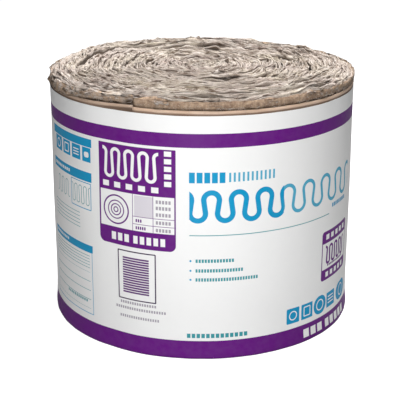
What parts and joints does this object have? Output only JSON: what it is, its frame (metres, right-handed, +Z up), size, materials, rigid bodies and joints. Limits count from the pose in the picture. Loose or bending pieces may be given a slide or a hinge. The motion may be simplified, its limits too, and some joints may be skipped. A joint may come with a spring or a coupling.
{
  "type": "insulation roll",
  "caption": "Standing roll of kraft-faced glass wool blanket, wound in a spiral that shows on both ends and held by a banded film sleeve.",
  "frame": {"origin": "centre of the end it stands on, at floor level", "axes": "+Z up along the roll's axis; the printed front of the sleeve faces -Y"},
  "size_m": [0.458, 0.458, 0.381],
  "materials": {
    "wool": "matt, fibrous glass wool in thin layers",
    "kraft": "matt brown kraft paper",
    "film": "satin white polythene film with printed bands"
  },
  "bodies": {
    "root": {"wool_blanket": "wool", "kraft_facing": "kraft", "film_sleeve": "film"}
  },
  "joints": []
}
